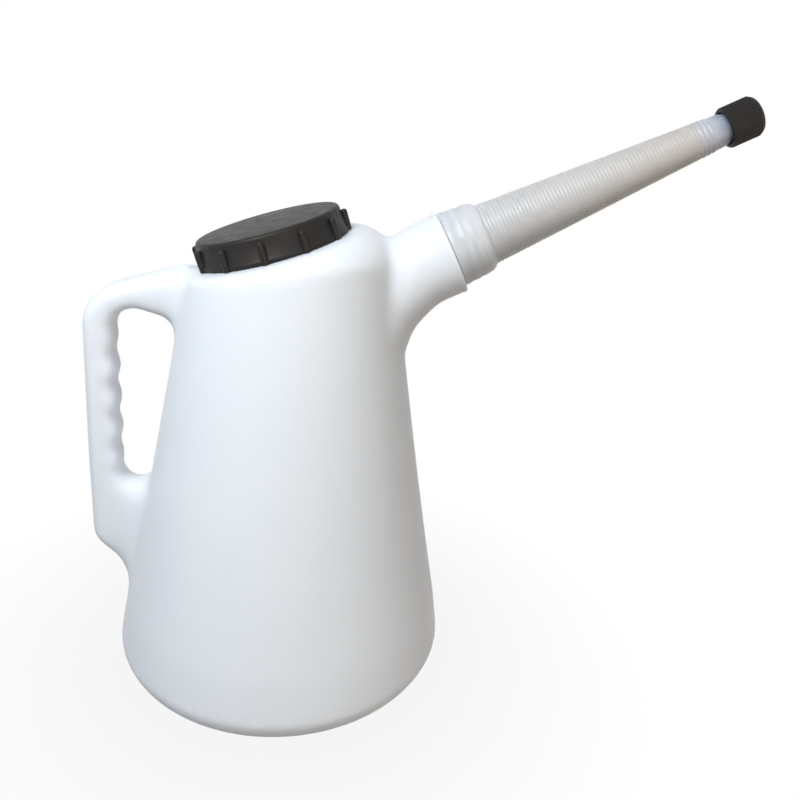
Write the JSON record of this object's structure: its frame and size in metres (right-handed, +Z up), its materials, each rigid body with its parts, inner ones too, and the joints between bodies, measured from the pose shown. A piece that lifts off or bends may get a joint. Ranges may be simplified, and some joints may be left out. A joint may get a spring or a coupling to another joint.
{
  "type": "oil jug",
  "caption": "Oil jug: a tapered round body with a moulded side handle, a tilted screw lid, and a long ribbed pouring spout that screws on and has its own screw cap.",
  "frame": {"origin": "centre of the round base, on the surface that the jug stands on", "axes": "+Z up, +X towards the spout, -X towards the handle; the jug is the same on both sides of Y = 0"},
  "size_m": [0.3663, 0.1992, 0.356],
  "materials": {
    "jug_body": "translucent white blown polyethylene, satin",
    "spout_tube": "translucent white flexible polyethylene, satin",
    "black_cap": "black moulded plastic, fine satin",
    "seal": "soft dark seal material"
  },
  "bodies": {
    "jug": {"body": "jug_body"},
    "lid_seal": {"lid_seal": "seal"},
    "lid": {"lid": "black_cap"},
    "spout_seal": {"spout_seal": "seal"},
    "spout": {"spout": "spout_tube"},
    "cap_liner": {"cap_liner": "seal"},
    "spout_cap": {"spout_cap": "black_cap"}
  },
  "joints": [
    {"name": "lid_lift", "type": "slide", "parent": "jug", "child": "lid_seal", "axis": [-0.309, 0, 0.9511], "range_m": [0, 0.0136]},
    {"name": "lid_turn", "type": "hinge", "parent": "lid_seal", "child": "lid", "pos_m": [-0.0107, 0, 0.25772], "axis": [-0.309, 0, 0.9511], "range_deg": [0, 1080]},
    {"name": "spout_lift", "type": "slide", "parent": "jug", "child": "spout_seal", "axis": [0.885, 0, 0.4656], "range_m": [0, 0.0157]},
    {"name": "spout_turn", "type": "hinge", "parent": "spout_seal", "child": "spout", "pos_m": [0.044, 0, 0.2405], "axis": [0.885, 0, 0.4656], "range_deg": [0, 1080]},
    {"name": "cap_lift", "type": "slide", "parent": "spout", "child": "cap_liner", "axis": [0.885, 0, 0.4656], "range_m": [0, 0.0161]},
    {"name": "cap_turn", "type": "hinge", "parent": "cap_liner", "child": "spout_cap", "pos_m": [0.044, 0, 0.2405], "axis": [0.885, 0, 0.4656], "range_deg": [0, 1440]}
  ],
  "couplings": [
    {"joint": "lid_lift", "follows": "lid_turn", "m_per_rad": 0.0007162},
    {"joint": "spout_lift", "follows": "spout_turn", "m_per_rad": 0.00082761},
    {"joint": "cap_lift", "follows": "cap_turn", "m_per_rad": 0.00063662}
  ]
}
